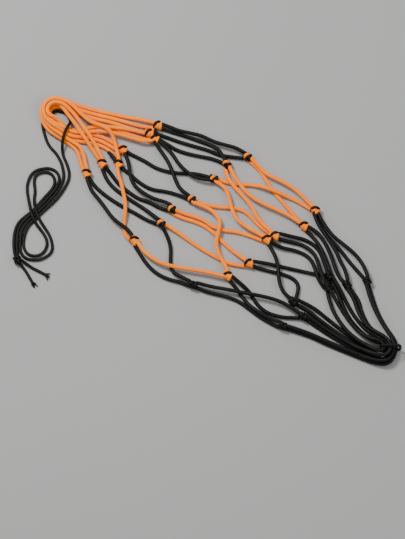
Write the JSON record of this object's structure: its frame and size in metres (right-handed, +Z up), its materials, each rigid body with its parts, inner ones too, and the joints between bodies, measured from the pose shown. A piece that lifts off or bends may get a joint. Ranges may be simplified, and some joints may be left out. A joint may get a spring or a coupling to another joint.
{
  "type": "mesh ball bag",
  "caption": "Knotted cord net bag for carrying one ball, lying flat, with a gathered mouth, a closed bottom and a drawstring wound into a hank.",
  "frame": {"origin": "on the surface the bag lies on, below the middle of the flattened net's box, its free drawstring not counted", "axes": "+Z up from the surface, +X along the longer side of the net's box, with the closed bottom at +X -Y and the mouth at -X +Y, +Y across"},
  "size_m": [0.3031, 0.2243, 0.0143],
  "materials": {
    "orange_net_cord": "matte braided polyester cord",
    "black_net_cord": "matte braided polyester cord",
    "drawstring_cord": "matte thin braided cord"
  },
  "bodies": {
    "upper_net": {"cord_start_tail": "black_net_cord", "drawstring_leg_1": "drawstring_cord", "drawstring_leg_2": "drawstring_cord", "middle_mesh_1_mouth_side": "orange_net_cord", "middle_mesh_2_mouth_side": "orange_net_cord", "middle_mesh_3_mouth_side": "orange_net_cord", "middle_mesh_4_mouth_side": "orange_net_cord", "middle_mesh_5_mouth_side": "orange_net_cord", "middle_mesh_6_mouth_side": "orange_net_cord", "middle_mesh_7_mouth_side": "orange_net_cord", "mouth_knots": "orange_net_cord", "mouth_loop_1": "orange_net_cord", "mouth_loop_2": "orange_net_cord", "mouth_loop_3": "orange_net_cord", "mouth_loop_4": "orange_net_cord", "mouth_loop_5": "orange_net_cord", "mouth_loop_6": "orange_net_cord", "mouth_loop_7": "orange_net_cord", "orange_joining_leg": "orange_net_cord", "side_mesh_mouth_side": "black_net_cord", "upper_knots": "black_net_cord", "upper_mesh_1": "black_net_cord", "upper_mesh_2": "black_net_cord", "upper_mesh_3": "black_net_cord", "upper_mesh_4": "black_net_cord", "upper_mesh_5": "black_net_cord", "upper_mesh_6": "black_net_cord", "upper_mesh_7": "black_net_cord"},
    "lower_net": {"bottom_knots": "black_net_cord", "bottom_loop_1": "black_net_cord", "bottom_loop_2": "black_net_cord", "bottom_loop_3": "black_net_cord", "bottom_loop_4": "black_net_cord", "bottom_loop_5": "black_net_cord", "bottom_loop_6": "black_net_cord", "bottom_loop_7": "black_net_cord", "closing_tie": "black_net_cord", "lower_knots": "orange_net_cord", "lower_mesh_1": "black_net_cord", "lower_mesh_2": "black_net_cord", "lower_mesh_3": "black_net_cord", "lower_mesh_4": "black_net_cord", "lower_mesh_5": "black_net_cord", "lower_mesh_6": "black_net_cord", "lower_mesh_7": "black_net_cord", "middle_mesh_1_bottom_side": "orange_net_cord", "middle_mesh_2_bottom_side": "orange_net_cord", "middle_mesh_3_bottom_side": "orange_net_cord", "middle_mesh_4_bottom_side": "orange_net_cord", "middle_mesh_5_bottom_side": "orange_net_cord", "middle_mesh_6_bottom_side": "orange_net_cord", "middle_mesh_7_bottom_side": "orange_net_cord", "side_mesh_bottom_side": "black_net_cord"},
    "drawstring_hank_body": {"drawstring_hank": "drawstring_cord", "stopper_knot": "drawstring_cord", "drawstring_tail_1": "drawstring_cord", "drawstring_tail_2": "drawstring_cord"}
  },
  "joints": [
    {"name": "net_fold", "type": "hinge", "parent": "upper_net", "child": "lower_net", "pos_m": [0.0066, 0.0116, 0.014], "axis": [-0.6, -0.8, 0], "range_deg": [0, 178]},
    {"name": "hank_swing", "type": "hinge", "parent": "upper_net", "child": "drawstring_hank_body", "pos_m": [-0.1215, 0.0561, 0.0013], "axis": [0, 0, 1], "range_deg": [-20, 20]}
  ]
}
